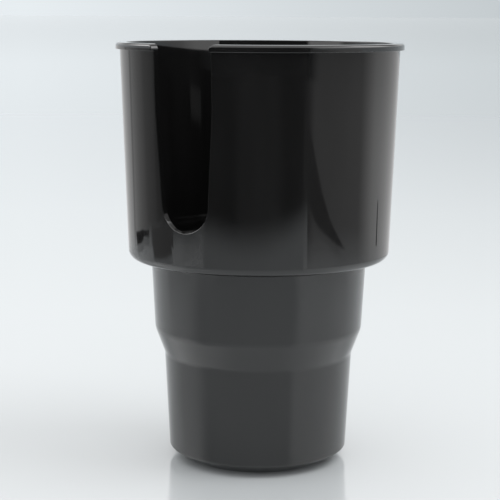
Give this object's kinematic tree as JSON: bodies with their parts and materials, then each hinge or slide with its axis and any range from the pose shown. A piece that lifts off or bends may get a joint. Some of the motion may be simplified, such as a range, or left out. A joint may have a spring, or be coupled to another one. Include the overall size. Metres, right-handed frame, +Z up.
{
  "type": "car cup holder",
  "caption": "One-piece moulded cup holder: tapered cup with a rounded lip and an open handle slot, on a stepped, tapered stem that drops into a car's cup well.",
  "frame": {"origin": "on the axis of the stem, in the plane of the foot ring that the holder stands on", "axes": "+Z up along the axis of the stem and cup, -Y out through the middle of the handle slot, +X to its right as seen from outside the slot"},
  "size_m": [0.1042, 0.1028, 0.1534],
  "materials": {
    "black_plastic": "gloss black moulded plastic"
  },
  "bodies": {
    "root": {"holder_body": "black_plastic"}
  },
  "joints": []
}
